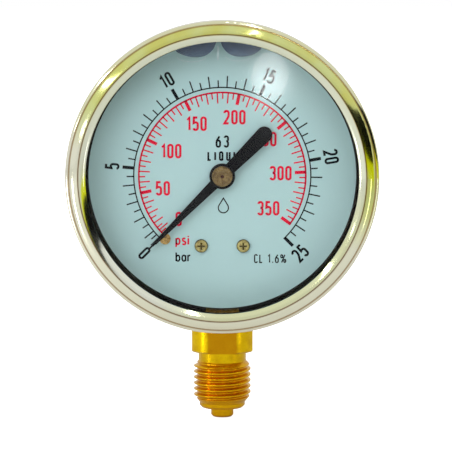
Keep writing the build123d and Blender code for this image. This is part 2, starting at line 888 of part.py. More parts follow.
def all_parts():
    """Every piece in the gauge's frame, by its node's name."""
    sector_pin, tube_pin = link_pins()
    in_head = {
        "bezel_ring": revolve(bezel_outline(), Axis.Z),
        "window": rod(window_radius, window_back, window_front),
        "window_gasket": window_gasket(),
        "dial_plate": dial_plate(),
        "dial_screws": dial_screws(),
        "dial_standoffs": dial_standoffs(),
        "stop_pin": stop_pin(),
        "pointer": pointer(),
        "pointer_hub": pointer_hub(),
        "pinion_arbor": pinion_arbor(),
        "sector_gear": sector_gear(),
        "sector_arbor": sector_arbor(),
        "movement_back_plate": movement_back_plate(),
        "movement_front_plate": movement_front_plate(),
        "movement_pillars": movement_pillars(),
        "pillar_screws": pillar_screws(),
        "movement_screws": movement_screws(),
        "hairspring_collet": hairspring_collet(),
        "hairspring": hairspring(),
        "hairspring_stud": hairspring_stud(),
        "bourdon_tube": bourdon_tube(),
        "tube_end_piece": tube_end_piece(),
        "link": link(),
        "sector_link_pin": sector_pin,
        "tube_link_pin": tube_pin,
        "socket_screws": socket_screws(),
    }
    in_gauge = {
        "socket": socket(),
        "restrictor": restrictor(),
        "case_shell": case_shell(),
        "socket_seal": socket_seal(),
        "fill_plug": fill_plug(),
    }
    return {name: head_frame(shape) for name, shape in in_head.items()} | in_gauge


os.makedirs("parts", exist_ok=True)
for name, shape in all_parts().items():
    export_step(shape, f"parts/{name}.step")
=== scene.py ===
import math

import bmesh
import bpy
from mathutils import Matrix, Vector


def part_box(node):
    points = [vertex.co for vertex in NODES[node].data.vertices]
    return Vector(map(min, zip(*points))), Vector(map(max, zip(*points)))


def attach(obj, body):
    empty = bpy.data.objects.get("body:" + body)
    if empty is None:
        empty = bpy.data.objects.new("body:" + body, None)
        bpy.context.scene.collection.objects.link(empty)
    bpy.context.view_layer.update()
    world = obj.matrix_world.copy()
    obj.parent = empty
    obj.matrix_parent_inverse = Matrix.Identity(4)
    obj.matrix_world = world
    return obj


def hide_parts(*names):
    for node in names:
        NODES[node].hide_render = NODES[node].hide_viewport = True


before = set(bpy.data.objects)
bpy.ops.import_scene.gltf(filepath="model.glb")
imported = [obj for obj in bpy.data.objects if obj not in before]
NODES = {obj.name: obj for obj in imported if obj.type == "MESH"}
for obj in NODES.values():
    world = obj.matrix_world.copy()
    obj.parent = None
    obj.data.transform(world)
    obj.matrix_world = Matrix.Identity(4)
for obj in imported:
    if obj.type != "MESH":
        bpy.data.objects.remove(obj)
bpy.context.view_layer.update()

# A bottom-connected, liquid-filled pressure gauge. The dial faces -Y and +Z is up.
# Lengths are in metres; MM turns the sizes below, which are in millimetres, into metres.
MM = 0.001


# ---------------------------------------------------------------- places from the model's parts

def middle(node):
    low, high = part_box(node)
    return (low + high) / 2


CENTRE = middle("dial_plate")
DIAL_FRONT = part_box("dial_plate")[0].y
WINDOW_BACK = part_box("window")[1].y
SCREW_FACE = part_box("dial_screws")[0].y
BEZEL_LOW, BEZEL_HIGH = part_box("bezel_ring")
SOCKET_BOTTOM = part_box("socket")[0].z


# ---------------------------------------------------------------- material helpers

class Graph:
    """A material's node tree, with short calls for the nodes that the materials use."""

    def __init__(self, name):
        self.material = bpy.data.materials.new(name)
        self.material.use_nodes = True
        self.tree = self.material.node_tree
        self.shader = self.tree.nodes["Principled BSDF"]
        self.output = self.tree.nodes["Material Output"]

    def add(self, kind, **settings):
        node = self.tree.nodes.new(kind)
        for key, value in settings.items():
            setattr(node, key, value)
        return node

    def join(self, source, target):
        self.tree.links.new(source, target)

    def feed(self, socket, value):
        """Link an output to the socket, or set the socket's own value."""
        if isinstance(value, bpy.types.NodeSocket):
            self.join(value, socket)
        else:
            socket.default_value = value

    def math(self, operation, first, second=0.0):
        node = self.add("ShaderNodeMath", operation=operation)
        self.feed(node.inputs[0], first)
        self.feed(node.inputs[1], second)
        return node.outputs[0]

    def vector(self, x, y, z):
        node = self.add("ShaderNodeCombineXYZ")
        for socket, value in zip(node.inputs, (x, y, z)):
            self.feed(socket, value)
        return node.outputs[0]

    def place(self, origin=(0, 0, 0)):
        """The x, y and z outputs of a point, in metres from an origin."""
        where = self.add("ShaderNodeTexCoord").outputs["Object"]
        shift = self.add("ShaderNodeVectorMath", operation="SUBTRACT")
        self.join(where, shift.inputs[0])
        shift.inputs[1].default_value = origin
        parts = self.add("ShaderNodeSeparateXYZ")
        self.join(shift.outputs[0], parts.inputs[0])
        return shift.outputs[0], parts.outputs

    def noise(self, vector, scale=1.0, detail=3.0, roughness=0.5):
        node = self.add("ShaderNodeTexNoise")
        self.join(vector, node.inputs["Vector"])
        node.inputs["Scale"].default_value = scale
        node.inputs["Detail"].default_value = detail
        node.inputs["Roughness"].default_value = roughness
        return node.outputs["Fac"]

    def ramp(self, factor, *stops):
        """A colour ramp of (position, colour) stops."""
        node = self.add("ShaderNodeValToRGB")
        self.feed(node.inputs[0], factor)
        elements = node.color_ramp.elements
        while len(elements) < len(stops):
            elements.new(0.5)
        for element, (position, colour) in zip(elements, stops):
            element.position = position
            element.color = (*colour, 1)
        return node.outputs["Color"]

    def span(self, value, low, high, out_low, out_high):
        node = self.add("ShaderNodeMapRange")
        self.feed(node.inputs["Value"], value)
        for name, number in zip(
            ("From Min", "From Max", "To Min", "To Max"), (low, high, out_low, out_high)
        ):
            node.inputs[name].default_value = number
        return node.outputs["Result"]

    def mix(self, factor, first, second):
        node = self.add("ShaderNodeMix", data_type="RGBA")
        self.feed(node.inputs[0], factor)
        self.feed(node.inputs[6], first)
        self.feed(node.inputs[7], second)
        return node.outputs[2]

    def bump(self, height, distance):
        node = self.add("ShaderNodeBump")
        self.feed(node.inputs["Height"], height)
        node.inputs["Distance"].default_value = distance
        node.inputs["Strength"].default_value = 1.0
        self.join(node.outputs[0], self.shader.inputs["Normal"])

    def set(self, **values):
        """Values or links for the shader's inputs; an underscore stands for a space."""
        for name, value in values.items():
            self.feed(self.shader.inputs[name.replace("_", " ")], value)
        return self.material

    def reach(self, first, second):
        """The distance from an axis, from the two coordinates across it."""
        squares = (self.math("MULTIPLY", first, first), self.math("MULTIPLY", second, second))
        return self.math("SQRT", self.math("ADD", *squares))

    def near(self, value, peak, half):
        """One where a value is at its peak, falling to nought at half a width on either side."""
        away = self.math("ABSOLUTE", self.math("SUBTRACT", value, peak))
        return self.span(away, 0.0, half, 1.0, 0.0)

    def rings(self, angle, radius, along, turns=2.0, across_scale=9000, along_scale=9000):
        """The fine rings that a lathe leaves about an axis."""
        where = self.vector(
            self.math("MULTIPLY", angle, turns),
            self.math("MULTIPLY", radius, across_scale),
            self.math("MULTIPLY", along, along_scale),
        )
        return self.noise(where, detail=2)

    def around_dial(self):
        """A point from the dial's centre, the angle and distance about its axis, the depth."""
        vector, (x, y, z) = self.place(CENTRE)
        return vector, self.math("ARCTAN2", x, z), self.reach(x, z), y

    def around_stem(self):
        """A point, the angle and distance about the stem's axis, and the height."""
        vector, (x, y, z) = self.place()
        return vector, self.math("ARCTAN2", x, y), self.reach(x, y), z


def polished_steel(name, colour, dark, roughness, streak):
    """Turned and polished stainless: fine rings about the dial's axis, faint smudges."""
    g = Graph(name)
    vector, angle, radius, depth = g.around_dial()
    rings = g.rings(angle, radius, depth)
    smudge = g.noise(vector, scale=180, detail=4)
    tint = g.ramp(smudge, (0.35, dark), (0.65, colour))
    gloss = g.math(
        "ADD",
        g.span(smudge, 0.3, 0.7, roughness, roughness * 1.8),
        g.span(rings, 0.3, 0.7, 0, streak),
    )
    g.bump(rings, 0.0000035)
    return g.set(Base_Color=tint, Metallic=1.0, Roughness=gloss)


BEZEL_RADIUS = (BEZEL_HIGH.x - BEZEL_LOW.x) / 2
LIP_GROOVE = BEZEL_RADIUS - 2.94 * MM
RIM_GROOVE = BEZEL_RADIUS - 0.84 * MM
GROOVE_HALF = 0.30 * MM
# Painted shade: how strongly the bezel's two grooves are darkened.
GROOVE_SHADE_STRENGTH = 0.9
# Straw tints: a painted reflection of yellow-green surroundings in the steel's colour.
STRAW_DARK = (0.74, 0.74, 0.20)
STRAW_LIGHT = (0.76, 0.82, 0.34)
# Painted reflections: paler steel below, a pale lip that is greener at the lower right, and a paler
# rim.
PALE_REFLECTION = (0.96, 0.95, 0.80, 1)
LIP_REFLECTION = (0.90, 0.93, 0.80, 1)
LIP_GREEN_REFLECTION = (0.80, 0.84, 0.42, 1)
RIM_REFLECTION = (0.92, 0.88, 0.74, 1)
# The colour of the painted shade in the bezel's two grooves.
GROOVE_SHADE_COLOUR = (0.34, 0.19, 0.05, 1)
PALE_TURN = math.radians(160)
GREEN_TURN = math.radians(-150)


def bezel_steel():
    """Polished stainless whose colour holds painted reflections: a straw tint, paler below, a paler
    lip that is greener at the lower right, and a paler rim; and painted brown shade in its two
    grooves.
    """
    g = Graph("bezel_stainless")
    vector, angle, radius, depth = g.around_dial()
    rings = g.rings(angle, radius, depth)
    smudge = g.noise(vector, scale=150, detail=4)
    lower_left = g.math("COSINE", g.math("ADD", angle, PALE_TURN))
    lower_right = g.math("COSINE", g.math("ADD", angle, GREEN_TURN))
    tint = g.ramp(smudge, (0.35, STRAW_DARK), (0.65, STRAW_LIGHT))
    # Painted reflections: paler towards the lower left, the lip paler and greener towards the lower
    # right, the rim paler.
    tint = g.mix(g.span(lower_left, -0.15, 0.15, 0.0, 0.9), tint, PALE_REFLECTION)
    lip = g.mix(g.span(lower_right, 0.5, 0.85, 0.0, 0.8), LIP_REFLECTION, LIP_GREEN_REFLECTION)
    tint = g.mix(g.span(radius, LIP_GROOVE, LIP_GROOVE - 0.3 * MM, 0.0, 0.85), tint, lip)
    tint = g.mix(g.span(radius, RIM_GROOVE, RIM_GROOVE + 0.2 * MM, 0.0, 0.6), tint, RIM_REFLECTION)
    front = g.span(depth, -1.5 * MM, -2.5 * MM, 0.0, 1.0)
    # Painted shade along both grooves, on the front only.
    for groove in (LIP_GROOVE, RIM_GROOVE):
        groove_shading = g.math("MULTIPLY", g.near(radius, groove, GROOVE_HALF), front)
        tint = g.mix(g.math("MULTIPLY", groove_shading, GROOVE_SHADE_STRENGTH), tint, GROOVE_SHADE_COLOUR)
    gloss = g.math(
        "ADD", g.span(smudge, 0.3, 0.7, 0.08, 0.13), g.span(rings, 0.3, 0.7, 0, 0.02)
    )
    g.bump(rings, 0.0000002)
    return g.set(Base_Color=tint, Metallic=1.0, Roughness=gloss)


BLOCK_BOTTOM = 7.0 * MM
FLAT_HALF = 3.332 * MM
FLAT_BLEND = 0.204 * MM
THREAD_TOP = 4.6 * MM
THREADED_HALF = 4.524 * MM
THREADED_BLEND = 0.052 * MM
INSIDE_CASE = 16.5 * MM
TARNISH = (0.40, 0.17, 0.012, 1)
ROOT_SHADE = (0.46, 0.16, 0.008, 1)
ORANGE_BRASS = (0.80, 0.37, 0.005, 1)
BLOCK_FRONT_REFLECTION = (0.56, 0.225, 0.004, 1)
CASE_SHADOW_BRASS = (0.20, 0.12, 0.02, 1)


def turned_brass(name, colour, dark, roughness):
    """Bright brass bar stock with lathe rings and tarnish, more orange from the thread down; painted
    shade in the thread's roots and inside the case, and a painted reflection on the block's front.
    """
    g = Graph(name)
    vector, angle, radius, height = g.around_stem()
    rings = g.rings(angle, radius, height, 1.2, 3500, 7000)
    patches = g.noise(vector, scale=260, detail=6, roughness=0.65)
    fine = g.noise(vector, scale=2600, detail=3)
    tint = g.ramp(patches, (0.30, dark), (0.62, colour))
    tint = g.mix(g.span(fine, 0.58, 0.8, 0.0, 0.5), tint, TARNISH)
    away = g.math("ABSOLUTE", height)
    threaded_end, threaded_start = THREADED_HALF + THREADED_BLEND, THREADED_HALF - THREADED_BLEND
    threaded = g.span(away, threaded_end, threaded_start, 0.0, 1.0)
    # Painted shade in the thread's roots.
    root = g.math("MULTIPLY", threaded, g.span(radius, 6.20 * MM, 5.75 * MM, 0.0, 0.5))
    tint = g.mix(root, tint, ROOT_SHADE)
    lower = g.span(height, THREAD_TOP + 0.4 * MM, THREAD_TOP - 0.4 * MM, 0.0, 0.55)
    tint = g.mix(lower, tint, ORANGE_BRASS)
    # Painted reflection: a darker brown on the block's front flat.
    aside = g.math("ABSOLUTE", g.math("MULTIPLY", radius, g.math("SINE", angle)))
    narrow = g.span(aside, FLAT_HALF + FLAT_BLEND, FLAT_HALF - FLAT_BLEND, 0.0, 0.75)
    block = g.span(height, BLOCK_BOTTOM - 0.05 * MM, BLOCK_BOTTOM + 0.05 * MM, 0.0, -1.0)
    front = g.span(g.math("MULTIPLY", g.math("COSINE", angle), block), 0.70, 0.75, 0.0, 1.0)
    tint = g.mix(g.math("MULTIPLY", narrow, front), tint, BLOCK_FRONT_REFLECTION)
    # Painted shade: the brass inside the case is darkened.
    inside = g.span(height, INSIDE_CASE, INSIDE_CASE + 0.7 * MM, 0.0, 0.85)
    tint = g.mix(inside, tint, CASE_SHADOW_BRASS)
    gloss = g.math(
        "ADD",
        g.span(patches, 0.3, 0.65, roughness * 1.6, roughness),
        g.span(rings, 0.3, 0.7, 0, 0.08),
    )
    g.bump(g.math("ADD", rings, g.math("MULTIPLY", fine, 0.8)), 0.000006)
    return g.set(Base_Color=tint, Metallic=1.0, Roughness=gloss)


def plain_metal(name, colour, dark, roughness, scale=900):
    """Small stamped and turned metal pieces with a mottled, slightly dull surface."""
    g = Graph(name)
    vector, _ = g.place()
    mottle = g.noise(vector, scale=scale, detail=5, roughness=0.6)
    fine = g.noise(vector, scale=scale * 8, detail=2)
    tint = g.ramp(mottle, (0.35, dark), (0.6, colour))
    g.bump(fine, 0.000004)
    gloss = g.span(mottle, 0.3, 0.7, roughness * 1.5, roughness)
    return g.set(Base_Color=tint, Metallic=1.0, Roughness=gloss)


def recessed_metal(name, colour, dark, face):
    """Screws' metal with painted shade, dark in the recesses behind the heads' faces."""
    g = Graph(name)
    vector, (x, y, z) = g.place()
    mottle = g.noise(vector, scale=1700, detail=5, roughness=0.6)
    tint = g.ramp(mottle, (0.35, dark), (0.6, colour))
    # Painted shade in the recesses behind the heads' faces.
    recess = g.span(y, face + 0.06 * MM, face + 0.22 * MM, 0.0, 0.9)
    tint = g.mix(recess, tint, (0.05, 0.03, 0.01, 1))
    return g.set(Base_Color=tint, Metallic=1.0, Roughness=g.span(mottle, 0.3, 0.7, 0.4, 0.26))


def painted(name, colour, dark, roughness):
    """A printed or painted film with a slight grain, and little shine under the liquid."""
    g = Graph(name)
    vector, _ = g.place()
    grainy = g.noise(vector, scale=1500, detail=4)
    tint = g.ramp(grainy, (0.3, dark), (0.7, colour))
    g.bump(grainy, 0.000002)
    return g.set(
        Base_Color=tint,
        Roughness=g.span(grainy, 0.3, 0.7, roughness * 0.9, roughness * 1.1),
        Specular_IOR_Level=0.06,
    )


DIAL_BLUE = (0.565, 0.775, 0.805, 1)
DIAL_SHADED_EDGE = (0.515, 0.715, 0.735, 1)
DIAL_CLOUD = (0.52, 0.745, 0.74, 1)
DIAL_GAP_SHADOW = (0.003, 0.003, 0.004, 1)


def dial_paint():
    """Pale blue-grey enamel with painted shade, a little greener and darker towards the edge, and a
    painted black shadow at the very edge.
    """
    g = Graph("dial_enamel")
    vector, angle, radius, depth = g.around_dial()
    cloud = g.noise(vector, scale=60, detail=3)
    grain = g.noise(vector, scale=4000, detail=2)
    # Painted shade: darker and a little greener towards the edge.
    edge = g.span(radius, 22 * MM, 30 * MM, 0.0, 1.0)
    tint = g.mix(edge, DIAL_BLUE, DIAL_SHADED_EDGE)
    tint = g.mix(g.span(cloud, 0.35, 0.65, 0.0, 0.2), tint, DIAL_CLOUD)
    # Painted shadow: the black ring at the dial's edge, where the gap under the lip is dark.
    tint = g.mix(g.span(radius, 30.20 * MM, 30.26 * MM, 0.0, 1.0), tint, DIAL_GAP_SHADOW)
    g.bump(grain, 0.000001)
    return g.set(
        Base_Color=tint, Roughness=g.span(grain, 0.3, 0.7, 0.42, 0.5), Specular_IOR_Level=0.1
    )


def moulded_rubber():
    g = Graph("moulded_rubber")
    vector, _ = g.place()
    grain = g.noise(vector, scale=5000, detail=3)
    dust = g.noise(vector, scale=500, detail=4)
    tint = g.ramp(dust, (0.4, (0.003, 0.003, 0.004)), (0.75, (0.008, 0.008, 0.009)))
    g.bump(grain, 0.00001)
    return g.set(
        Base_Color=tint, Roughness=g.span(grain, 0.3, 0.7, 0.5, 0.7), Specular_IOR_Level=0.08
    )


def clear_window():
    """Clear glass that lets the lamps' light through to the dial."""
    g = Graph("clear_window")
    vector, _ = g.place()
    haze = g.noise(vector, scale=90, detail=4)
    g.set(
        Base_Color=(0.97, 1.0, 0.995, 1),
        Transmission_Weight=1.0,
        IOR=1.13,
        Roughness=0.0,
        Coat_Weight=0.14,
        Coat_Roughness=g.span(haze, 0.4, 0.7, 0.05, 0.08),
    )
    lamp_rays = g.add("ShaderNodeLightPath").outputs["Is Shadow Ray"]
    through = g.add("ShaderNodeBsdfTransparent")
    through.inputs[0].default_value = (0.97, 0.99, 0.99, 1)
    both = g.add("ShaderNodeMixShader")
    g.join(lamp_rays, both.inputs[0])
    g.join(g.shader.outputs[0], both.inputs[1])
    g.join(through.outputs[0], both.inputs[2])
    g.join(both.outputs[0], g.output.inputs[0])
    return g.material


STEEL = bezel_steel()
CASE_STEEL = polished_steel("drawn_stainless", (0.78, 0.77, 0.68), (0.68, 0.67, 0.57), 0.14, 0.08)
BRASS = turned_brass("turned_brass", (0.90, 0.60, 0.006), (0.66, 0.36, 0.004), 0.13)
SHEET_BRASS = plain_metal("stamped_brass", (0.86, 0.62, 0.22), (0.66, 0.42, 0.12), 0.22)
HUB_BRASS = plain_metal("hub_brass", (0.30, 0.20, 0.09), (0.13, 0.08, 0.04), 0.3, 1300)
SCREW_STEEL = plain_metal("plated_screws", (0.66, 0.60, 0.34), (0.22, 0.17, 0.08), 0.28, 1700)
DIAL_SCREW = recessed_metal("dial_screws", (0.62, 0.52, 0.20), (0.32, 0.23, 0.08), SCREW_FACE)
PIN_BRASS = plain_metal("pin_brass", (0.74, 0.48, 0.17), (0.28, 0.16, 0.06), 0.3, 1500)
ARBOR_STEEL = plain_metal("arbor_steel", (0.60, 0.60, 0.58), (0.42, 0.42, 0.42), 0.2)
BLUED_STEEL = plain_metal("blued_arbor", (0.09, 0.03, 0.02), (0.04, 0.02, 0.02), 0.3)
TUBE_BRONZE = plain_metal("tube_bronze", (0.78, 0.50, 0.30), (0.52, 0.28, 0.16), 0.25, 400)
POINTER_BLACK = painted("pointer_black", (0.003, 0.003, 0.006), (0.002, 0.002, 0.004), 0.4)
BLACK_INK = painted("black_ink", (0.004, 0.010, 0.016), (0.002, 0.005, 0.009), 0.5)
RED_INK = painted("red_ink", (0.98, 0.003, 0.05), (0.88, 0.002, 0.035), 0.5)
RUBBER = moulded_rubber()
DIAL_ENAMEL = dial_paint()
GLASS = clear_window()

FINISHES = {
    "bezel_ring": STEEL,
    "case_shell": CASE_STEEL,
    "socket": BRASS,
    "restrictor": BRASS,
    "window": GLASS,
    "window_gasket": RUBBER,
    "socket_seal": RUBBER,
    "fill_plug": RUBBER,
    "socket_screws": SCREW_STEEL,
    "dial_plate": DIAL_ENAMEL,
    "dial_screws": DIAL_SCREW,
    "dial_standoffs": SHEET_BRASS,
    "stop_pin": PIN_BRASS,
    "movement_back_plate": SHEET_BRASS,
    "movement_front_plate": SHEET_BRASS,
    "movement_pillars": SHEET_BRASS,
    "pillar_screws": ARBOR_STEEL,
    "movement_screws": ARBOR_STEEL,
    "hairspring_stud": SHEET_BRASS,
    "hairspring": TUBE_BRONZE,
    "bourdon_tube": TUBE_BRONZE,
    "pointer": POINTER_BLACK,
    "pointer_hub": HUB_BRASS,
    "pinion_arbor": BLUED_STEEL,
    "hairspring_collet": SHEET_BRASS,
    "sector_gear": SHEET_BRASS,
    "sector_arbor": ARBOR_STEEL,
    "sector_link_pin": ARBOR_STEEL,
    "tube_end_piece": SHEET_BRASS,
    "tube_link_pin": ARBOR_STEEL,
    "link": SHEET_BRASS,
}
for node, finish in FINISHES.items():
    for material_slot in NODES[node].material_slots:
        material_slot.material = finish


# ---------------------------------------------------------------- mesh helpers

def new_piece(name, mesh_maker, finish, body="gauge", smooth=False):
    """Make a mesh object with a function that fills a bmesh, and let it ride on a body."""
    bm = bmesh.new()
    mesh_maker(bm)
    bmesh.ops.recalc_face_normals(bm, faces=bm.faces)
    mesh = bpy.data.meshes.new(name)
    bm.to_mesh(mesh)
    bm.free()
    for polygon in mesh.polygons:
        polygon.use_smooth = smooth
    mesh.materials.append(finish)
    piece = bpy.data.objects.new(name, mesh)
    bpy.context.scene.collection.objects.link(piece)
    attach(piece, body)
    return piece


PRINT_SINK = 0.01 * MM
PRINT_RISE = 0.03 * MM


def on_dial(u, v, height):
    """A point on the dial, u to the right and v up from its centre, height above its face."""
    return Vector((CENTRE.x + u * MM, DIAL_FRONT - height, CENTRE.z + v * MM))


def add_strip(bm, left, right, closed=False, heights=(-PRINT_SINK, PRINT_RISE)):
    """A thin strip between two rows of dial points and two heights above the dial."""
    rows = []
    for row in (left, right):
        for height in heights:
            rows.append([bm.verts.new(on_dial(u, v, height)) for u, v in row])
    left_low, left_high, right_low, right_high = rows
    count = len(left)
    for first in range(count if closed else count - 1):
        second = (first + 1) % count
        for one, other in (
            (left_high, right_high),
            (right_low, left_low),
            (left_low, left_high),
            (right_high, right_low),
        ):
            bm.faces.new((one[first], one[second], other[second], other[first]))
    if not closed:
        for end in (0, count - 1):
            bm.faces.new((left_low[end], left_high[end], right_high[end], right_low[end]))


def stroke(bm, path, width, closed=False):
    """A pen stroke of even width along a path of dial points, with mitred corners."""
    points = [Vector(point) for point in path]
    count = len(points)
    left, right = [], []
    for index, point in enumerate(points):
        before = points[index - 1] if closed or index > 0 else None
        after = points[(index + 1) % count] if closed or index < count - 1 else None
        normals = []
        for start, end in ((before, point), (point, after)):
            if start is not None and end is not None:
                along = (end - start).normalized()
                normals.append(Vector((-along.y, along.x)))
        aside = sum(normals, Vector((0, 0)))
        aside = aside.normalized()
        aside = aside * (width / 2 / max(aside.dot(normals[0]), 0.5))
        left.append(tuple(point + aside))
        right.append(tuple(point - aside))
    add_strip(bm, left, right, closed)


def stroke_at(bm, path, width, heights):
    """An open stroke at other heights than the print's."""
    half = width / 2
    left, right = [], []
    for index, (u, v) in enumerate(path):
        before, after = path[max(index - 1, 0)], path[min(index + 1, len(path) - 1)]
        along = Vector((after[0] - before[0], after[1] - before[1])).normalized()
        left.append((u - along.y * half, v + along.x * half))
        right.append((u + along.y * half, v - along.x * half))
    add_strip(bm, left, right, heights=heights)


def clock(radius, angle):
    """The dial point at a radius and an angle, clockwise from the top."""
    turn = math.radians(angle)
    return radius * math.sin(turn), radius * math.cos(turn)


def scale_arc(bm, radius, width, start, end):
    steps = int((end - start) / 1.5)
    angles = [start + (end - start) * step / steps for step in range(steps + 1)]
    add_strip(
        bm,
        [clock(radius - width / 2, angle) for angle in angles],
        [clock(radius + width / 2, angle) for angle in angles],
    )


def tick(bm, angle, inner, outer, width):
    stroke(bm, [clock(inner, angle), clock(outer, angle)], width)


# ---------------------------------------------------------------- lettering

def bow(cx, cy, rx, ry, start, end, steps=10):
    """Points on an ellipse, angles anticlockwise from the right."""
    points = []
    for step in range(steps + 1):
        turn = math.radians(start + (end - start) * step / steps)
        points.append((cx + rx * math.cos(turn), cy + ry * math.sin(turn)))
    return points


WIDE = 0.34
HALF = WIDE / 2
BOWL = 0.40


def stadium(low, high):
    """A closed upright loop with round ends."""
    return bow(HALF, high - HALF, HALF, HALF, 0, 180) + bow(HALF, low + HALF, HALF, HALF, 180, 360)


def bowl(start):
    """The closed round part of a small letter, from a start angle."""
    return bow(BOWL / 2, 0.35, BOWL / 2, 0.33, start, start + 360, 16)[:-1]


def letter_strokes():
    """Each character's strokes as (path, closed), with capitals one unit high, and its width."""
    top = 1 - HALF
    return {
        "0": ([(stadium(0, 1)[:-1], True)], WIDE),
        "1": ([([(0.0, 0.80), (0.17, 1.0), (0.17, 0.0)], False)], 0.2),
        "2": (
            [
                (
                    bow(HALF, top, HALF, HALF, 180, 0)
                    + [(WIDE, 0.68), (0.30, 0.50), (0.0, 0.0), (WIDE, 0.0)],
                    False,
                )
            ],
            WIDE,
        ),
        "3": (
            [
                (bow(HALF, top, HALF, HALF, 170, 0) + bow(HALF, 0.67, HALF, 0.14, 0, -90), False),
                (bow(HALF, 0.36, HALF, 0.17, 90, 0) + bow(HALF, HALF, HALF, HALF, 0, -170), False),
            ],
            WIDE,
        ),
        "5": (
            [
                (
                    [(0.31, 1.0), (0.03, 1.0), (0.01, 0.55)]
                    + bow(HALF, 0.44, HALF, 0.17, 130, 0)
                    + bow(HALF, HALF, HALF, HALF, 0, -170),
                    False,
                )
            ],
            WIDE,
        ),
        "6": (
            [
                (stadium(0, 0.60)[:-1], True),
                ([(0.0, 0.38), (0.02, 0.58), (0.28, 1.0)], False),
            ],
            WIDE,
        ),
        "%": (
            [
                (bow(0.12, 0.80, 0.12, 0.19, 0, 360)[:-1], True),
                (bow(0.52, 0.20, 0.12, 0.19, 0, 360)[:-1], True),
                ([(0.12, 0.0), (0.52, 1.0)], False),
            ],
            0.64,
        ),
        ".": ([([(0.04, -0.03), (0.04, 0.09)], False)], 0.08),
        " ": ([], 0.12),
        "C": (
            [(bow(HALF, top, HALF, HALF, 10, 180) + bow(HALF, HALF, HALF, HALF, 180, 350), False)],
            WIDE,
        ),
        "L": ([([(0.0, 1.0), (0.0, 0.0), (0.30, 0.0)], False)], 0.30),
        "I": ([([(0.0, 1.0), (0.0, 0.0)], False)], 0.02),
        "Q": ([(stadium(0, 1)[:-1], True), ([(0.20, 0.20), (0.38, -0.06)], False)], WIDE),
        "U": (
            [([(0.0, 1.0)] + bow(HALF, HALF, HALF, HALF, 180, 360) + [(WIDE, 1.0)], False)],
            WIDE,
        ),
        "D": (
            [
                (
                    [(0.0, 0.0), (0.0, 1.0)]
                    + bow(HALF, top, HALF, HALF, 90, 0)
                    + bow(HALF, HALF, HALF, HALF, 0, -90),
                    True,
                )
            ],
            WIDE,
        ),
        "p": ([([(0.0, -0.28), (0.0, 0.70)], False), (bowl(180), True)], BOWL),
        "s": (
            [
                (
                    bow(HALF, 0.53, 0.16, 0.16, 30, 230, 8)
                    + bow(HALF, HALF, HALF, HALF, 60, -160, 9),
                    False,
                )
            ],
            0.34,
        ),
        "i": ([([(0.0, 0.0), (0.0, 0.70)], False), ([(0.0, 0.84), (0.0, 0.97)], False)], 0.02),
        "b": ([([(0.0, 0.0), (0.0, 1.0)], False), (bowl(180), True)], BOWL),
        "a": ([([(BOWL, 0.0), (BOWL, 0.70)], False), (bowl(0), True)], BOWL),
        "r": (
            [
                ([(0.0, 0.0), (0.0, 0.70)], False),
                (bow(HALF, 0.45, HALF, 0.22, 170, 60, 6), False),
            ],
            0.26,
        ),
    }


LETTERS = letter_strokes()


def write(bm, text, u, v, height, weight, gap, turn=0.0):
    """Write a line of text centred on a dial point; turn is in degrees anticlockwise."""
    unit = height - weight
    widths = [LETTERS[letter][1] * unit + weight for letter in text]
    total = sum(widths) + gap * (len(text) - 1)
    rotation = Matrix.Rotation(math.radians(turn), 2)
    pen = -total / 2
    for letter, width in zip(text, widths):
        for path, closed in LETTERS[letter][0]:
            placed = []
            for x, y in path:
                local = Vector((pen + weight / 2 + x * unit, weight / 2 + y * unit - height / 2))
                spot = rotation @ local
                placed.append((u + spot.x, v + spot.y))
            stroke(bm, placed, weight, closed)
        pen += width + gap
    return total


# ---------------------------------------------------------------- the dial's print

BAR_PER_PSI = 0.0689476
FULL_BAR = 25
FULL_PSI = 350


def bar_angle(pressure):
    """The scale's angle, with its compressed first step of 6 degrees and then 11 a bar."""
    return 225 + 6 * pressure if pressure < 1 else 220 + 11 * pressure


def psi_angle(pressure):
    return bar_angle(pressure * BAR_PER_PSI)


BLACK_RADIUS = 20.0
RED_RADIUS = 18.85
BLACK_LINE = 0.28
RED_LINE = 0.38
THIN_TICK = 0.29
NUMERAL_HEIGHT = 3.3
NUMERAL_WEIGHT = 0.50
NUMERAL_GAP = 0.33
BLACK_NUMERAL_RADIUS = 24.95
RED_NUMERAL_RADIUS = 15.45
LONG_TICK = 2.6
SHORT_TICK = 1.6
RED_LONG_TICK = 2.45
RED_SHORT_TICK = 1.45
THICK_TICK = 0.72


def black_scale(bm):
    scale_arc(bm, BLACK_RADIUS, BLACK_LINE, bar_angle(0), bar_angle(FULL_BAR))
    inner = BLACK_RADIUS - BLACK_LINE / 2
    for half_bars in range(0, 2 * FULL_BAR + 1):
        angle = bar_angle(half_bars / 2)
        if half_bars % 10 == 0:
            tick(bm, angle, inner, BLACK_RADIUS + LONG_TICK, THICK_TICK)
        elif half_bars % 2 == 0:
            tick(bm, angle, inner, BLACK_RADIUS + LONG_TICK, THIN_TICK)
        else:
            tick(bm, angle, inner, BLACK_RADIUS + SHORT_TICK, THIN_TICK)


def red_scale(bm):
    scale_arc(bm, RED_RADIUS, RED_LINE, psi_angle(0), psi_angle(FULL_PSI))
    outer = RED_RADIUS + RED_LINE / 2
    for pressure in range(0, FULL_PSI + 1, 5):
        angle = psi_angle(pressure)
        if pressure % 50 == 0:
            tick(bm, angle, RED_RADIUS - RED_LONG_TICK, outer, THICK_TICK)
        elif pressure % 10 == 0:
            tick(bm, angle, RED_RADIUS - RED_LONG_TICK, outer, THIN_TICK)
        else:
            tick(bm, angle, RED_RADIUS - RED_SHORT_TICK, outer, THIN_TICK)


